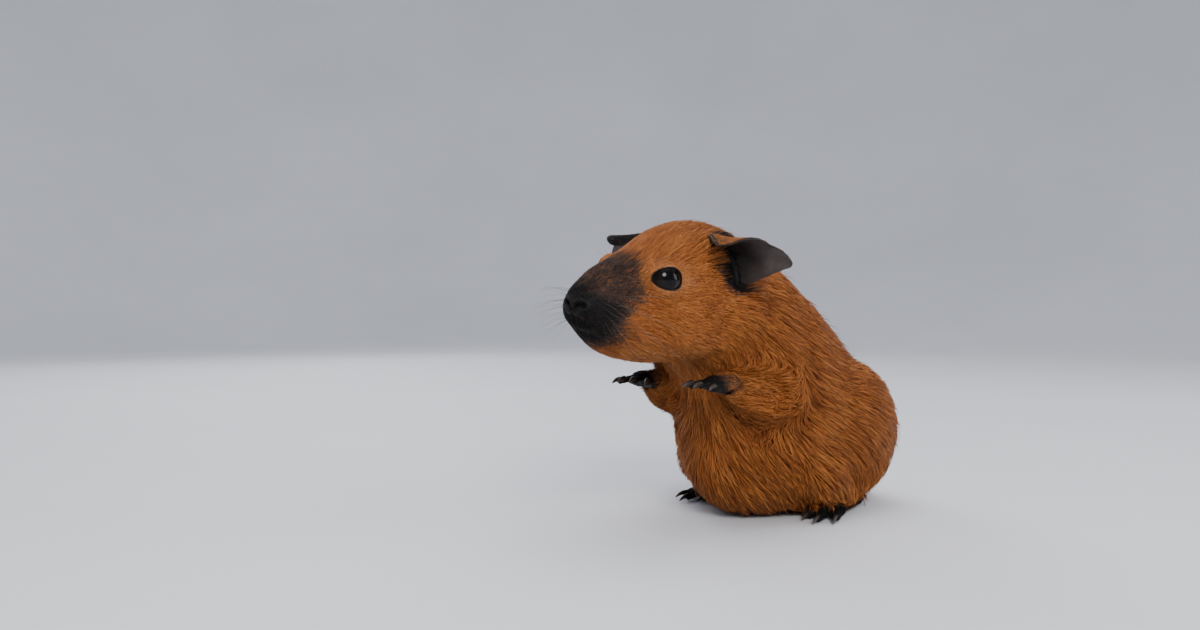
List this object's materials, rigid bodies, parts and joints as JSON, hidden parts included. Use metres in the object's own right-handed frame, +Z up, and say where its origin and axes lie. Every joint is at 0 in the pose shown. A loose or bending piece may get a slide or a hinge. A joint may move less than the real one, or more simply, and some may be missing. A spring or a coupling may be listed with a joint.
{
  "type": "guinea pig",
  "caption": "Life-size still model of a young smooth-coated guinea pig sitting on its haunches, head raised, forepaws held out under the chin.",
  "frame": {"origin": "on the floor, under the centre of the whole animal's box", "axes": "+Z up, the animal faces -X and its left side is towards -Y"},
  "size_m": [0.1496, 0.0766, 0.1009],
  "materials": {
    "coat": "short soft golden-red fur, grizzled dark on the bridge of the nose, paler round the eyes",
    "dark_coat": "very short black fur on the feet",
    "ear_skin": "thin dark grey-brown ear skin with a fine down",
    "eye": "wet, glossy, nearly black eye",
    "claw": "dark horn with a satin surface"
  },
  "bodies": {
    "root": {"head": "coat", "neck": "coat", "trunk": "coat", "foreleg_left": "coat", "hindleg_left": "coat", "forefoot_left": "dark_coat", "hindfoot_left": "dark_coat", "ear_left": "ear_skin", "eye_left": "eye", "claw_fore_left_1": "claw", "claw_fore_left_2": "claw", "claw_fore_left_3": "claw", "claw_fore_left_4": "claw", "claw_hind_left_1": "claw", "claw_hind_left_2": "claw", "claw_hind_left_3": "claw", "foreleg_right": "coat", "hindleg_right": "coat", "forefoot_right": "dark_coat", "hindfoot_right": "dark_coat", "ear_right": "ear_skin", "eye_right": "eye", "claw_fore_right_1": "claw", "claw_fore_right_2": "claw", "claw_fore_right_3": "claw", "claw_fore_right_4": "claw", "claw_hind_right_1": "claw", "claw_hind_right_2": "claw", "claw_hind_right_3": "claw"}
  },
  "joints": []
}
